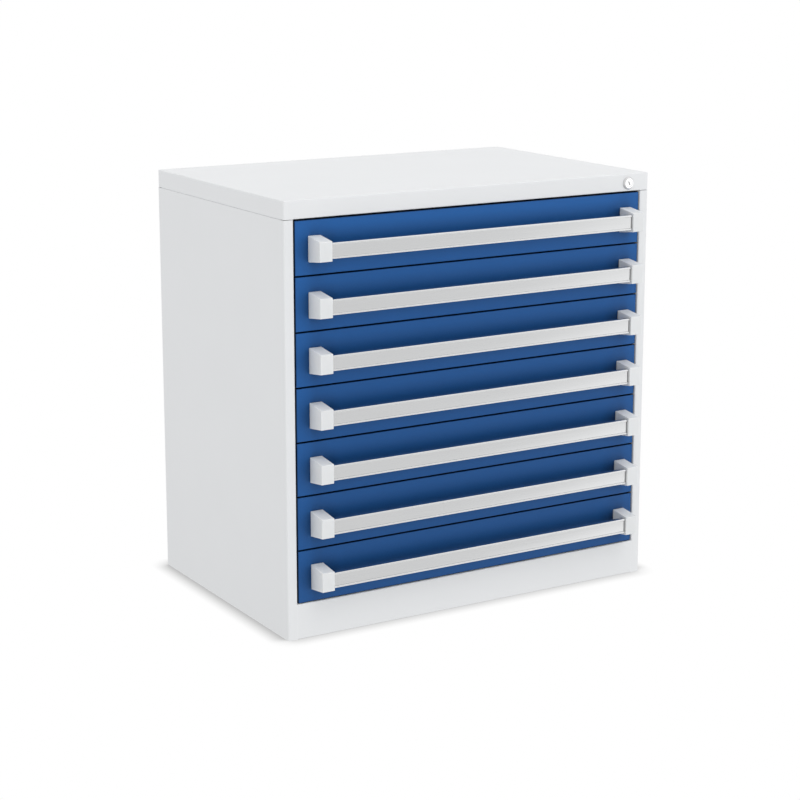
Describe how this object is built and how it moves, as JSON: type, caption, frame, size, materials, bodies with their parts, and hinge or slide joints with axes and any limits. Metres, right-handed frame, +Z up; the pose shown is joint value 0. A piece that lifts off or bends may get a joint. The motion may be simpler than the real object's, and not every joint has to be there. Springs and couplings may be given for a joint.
{
  "type": "multi-drawer cabinet",
  "caption": "Floor-standing sheet-steel cabinet with full-width drawers on telescopic runners, bar handles with label strips, and a cylinder lock that bars every drawer.",
  "frame": {"origin": "on the floor, under the middle of the whole cabinet with its handles", "axes": "+Z up, +X to the right as seen from the front; the drawers open towards -Y"},
  "size_m": [0.795, 0.566, 0.805],
  "materials": {
    "carcass_paint": "light grey powder coat, fine orange peel, semi-matte",
    "drawer_paint": "mid blue powder coat, fine orange peel, semi-matte",
    "box_paint": "light grey paint",
    "zinc_steel": "bright zinc plating",
    "handle_aluminium": "satin anodised extrusion",
    "cap_plastic": "light grey moulded plastic",
    "label_plastic": "blank pale grey strip",
    "lock_chrome": "satin chrome"
  },
  "bodies": {
    "cabinet": {"top_cover": "carcass_paint", "side_left": "carcass_paint", "side_right": "carcass_paint", "back_panel": "carcass_paint", "base_pan": "carcass_paint", "runner_uprights": "zinc_steel", "cabinet_rails": "zinc_steel", "lock_barrel": "lock_chrome"},
    "lock_cylinder": {"lock_plug": "lock_chrome", "lock_crank": "zinc_steel"},
    "locking_rod": {"locking_rod": "zinc_steel"},
    "drawer_1": {"drawer1_front": "drawer_paint", "drawer1_box": "box_paint", "drawer1_handle_bar": "handle_aluminium", "drawer1_label_strip": "label_plastic", "drawer1_handle_caps": "cap_plastic", "drawer1_rails": "zinc_steel"},
    "drawer_1_middle_rails": {"drawer1_middle_rails": "zinc_steel"},
    "drawer_2": {"drawer2_front": "drawer_paint", "drawer2_box": "box_paint", "drawer2_handle_bar": "handle_aluminium", "drawer2_label_strip": "label_plastic", "drawer2_handle_caps": "cap_plastic", "drawer2_rails": "zinc_steel"},
    "drawer_2_middle_rails": {"drawer2_middle_rails": "zinc_steel"},
    "drawer_3": {"drawer3_front": "drawer_paint", "drawer3_box": "box_paint", "drawer3_handle_bar": "handle_aluminium", "drawer3_label_strip": "label_plastic", "drawer3_handle_caps": "cap_plastic", "drawer3_rails": "zinc_steel"},
    "drawer_3_middle_rails": {"drawer3_middle_rails": "zinc_steel"},
    "drawer_4": {"drawer4_front": "drawer_paint", "drawer4_box": "box_paint", "drawer4_handle_bar": "handle_aluminium", "drawer4_label_strip": "label_plastic", "drawer4_handle_caps": "cap_plastic", "drawer4_rails": "zinc_steel"},
    "drawer_4_middle_rails": {"drawer4_middle_rails": "zinc_steel"},
    "drawer_5": {"drawer5_front": "drawer_paint", "drawer5_box": "box_paint", "drawer5_handle_bar": "handle_aluminium", "drawer5_label_strip": "label_plastic", "drawer5_handle_caps": "cap_plastic", "drawer5_rails": "zinc_steel"},
    "drawer_5_middle_rails": {"drawer5_middle_rails": "zinc_steel"},
    "drawer_6": {"drawer6_front": "drawer_paint", "drawer6_box": "box_paint", "drawer6_handle_bar": "handle_aluminium", "drawer6_label_strip": "label_plastic", "drawer6_handle_caps": "cap_plastic", "drawer6_rails": "zinc_steel"},
    "drawer_6_middle_rails": {"drawer6_middle_rails": "zinc_steel"},
    "drawer_7": {"drawer7_front": "drawer_paint", "drawer7_box": "box_paint", "drawer7_handle_bar": "handle_aluminium", "drawer7_label_strip": "label_plastic", "drawer7_handle_caps": "cap_plastic", "drawer7_rails": "zinc_steel"},
    "drawer_7_middle_rails": {"drawer7_middle_rails": "zinc_steel"}
  },
  "joints": [
    {"name": "drawer_1_slide", "type": "slide", "parent": "cabinet", "child": "drawer_1", "axis": [0, -1, 0], "range_m": [0, 0.43]},
    {"name": "drawer_1_middle_slide", "type": "slide", "parent": "cabinet", "child": "drawer_1_middle_rails", "axis": [0, -1, 0], "range_m": [0, 0.215]},
    {"name": "drawer_2_slide", "type": "slide", "parent": "cabinet", "child": "drawer_2", "axis": [0, -1, 0], "range_m": [0, 0.43]},
    {"name": "drawer_2_middle_slide", "type": "slide", "parent": "cabinet", "child": "drawer_2_middle_rails", "axis": [0, -1, 0], "range_m": [0, 0.215]},
    {"name": "drawer_3_slide", "type": "slide", "parent": "cabinet", "child": "drawer_3", "axis": [0, -1, 0], "range_m": [0, 0.43]},
    {"name": "drawer_3_middle_slide", "type": "slide", "parent": "cabinet", "child": "drawer_3_middle_rails", "axis": [0, -1, 0], "range_m": [0, 0.215]},
    {"name": "drawer_4_slide", "type": "slide", "parent": "cabinet", "child": "drawer_4", "axis": [0, -1, 0], "range_m": [0, 0.43]},
    {"name": "drawer_4_middle_slide", "type": "slide", "parent": "cabinet", "child": "drawer_4_middle_rails", "axis": [0, -1, 0], "range_m": [0, 0.215]},
    {"name": "drawer_5_slide", "type": "slide", "parent": "cabinet", "child": "drawer_5", "axis": [0, -1, 0], "range_m": [0, 0.43]},
    {"name": "drawer_5_middle_slide", "type": "slide", "parent": "cabinet", "child": "drawer_5_middle_rails", "axis": [0, -1, 0], "range_m": [0, 0.215]},
    {"name": "drawer_6_slide", "type": "slide", "parent": "cabinet", "child": "drawer_6", "axis": [0, -1, 0], "range_m": [0, 0.43]},
    {"name": "drawer_6_middle_slide", "type": "slide", "parent": "cabinet", "child": "drawer_6_middle_rails", "axis": [0, -1, 0], "range_m": [0, 0.215]},
    {"name": "drawer_7_slide", "type": "slide", "parent": "cabinet", "child": "drawer_7", "axis": [0, -1, 0], "range_m": [0, 0.43]},
    {"name": "drawer_7_middle_slide", "type": "slide", "parent": "cabinet", "child": "drawer_7_middle_rails", "axis": [0, -1, 0], "range_m": [0, 0.215]},
    {"name": "lock_turn", "type": "hinge", "parent": "cabinet", "child": "lock_cylinder", "pos_m": [0.349, -0.242, 0.787], "axis": [0, -1, 0], "range_deg": [0, 90]},
    {"name": "locking_rod_lift", "type": "slide", "parent": "cabinet", "child": "locking_rod", "axis": [0, 0, 1], "range_m": [0, 0.012]}
  ],
  "couplings": [
    {"joint": "drawer_1_middle_slide", "follows": "drawer_1_slide", "ratio": 0.5},
    {"joint": "drawer_2_middle_slide", "follows": "drawer_2_slide", "ratio": 0.5},
    {"joint": "drawer_3_middle_slide", "follows": "drawer_3_slide", "ratio": 0.5},
    {"joint": "drawer_4_middle_slide", "follows": "drawer_4_slide", "ratio": 0.5},
    {"joint": "drawer_5_middle_slide", "follows": "drawer_5_slide", "ratio": 0.5},
    {"joint": "drawer_6_middle_slide", "follows": "drawer_6_slide", "ratio": 0.5},
    {"joint": "drawer_7_middle_slide", "follows": "drawer_7_slide", "ratio": 0.5},
    {"joint": "lock_turn", "follows": "locking_rod_lift", "rad_per_m": 130.9}
  ]
}
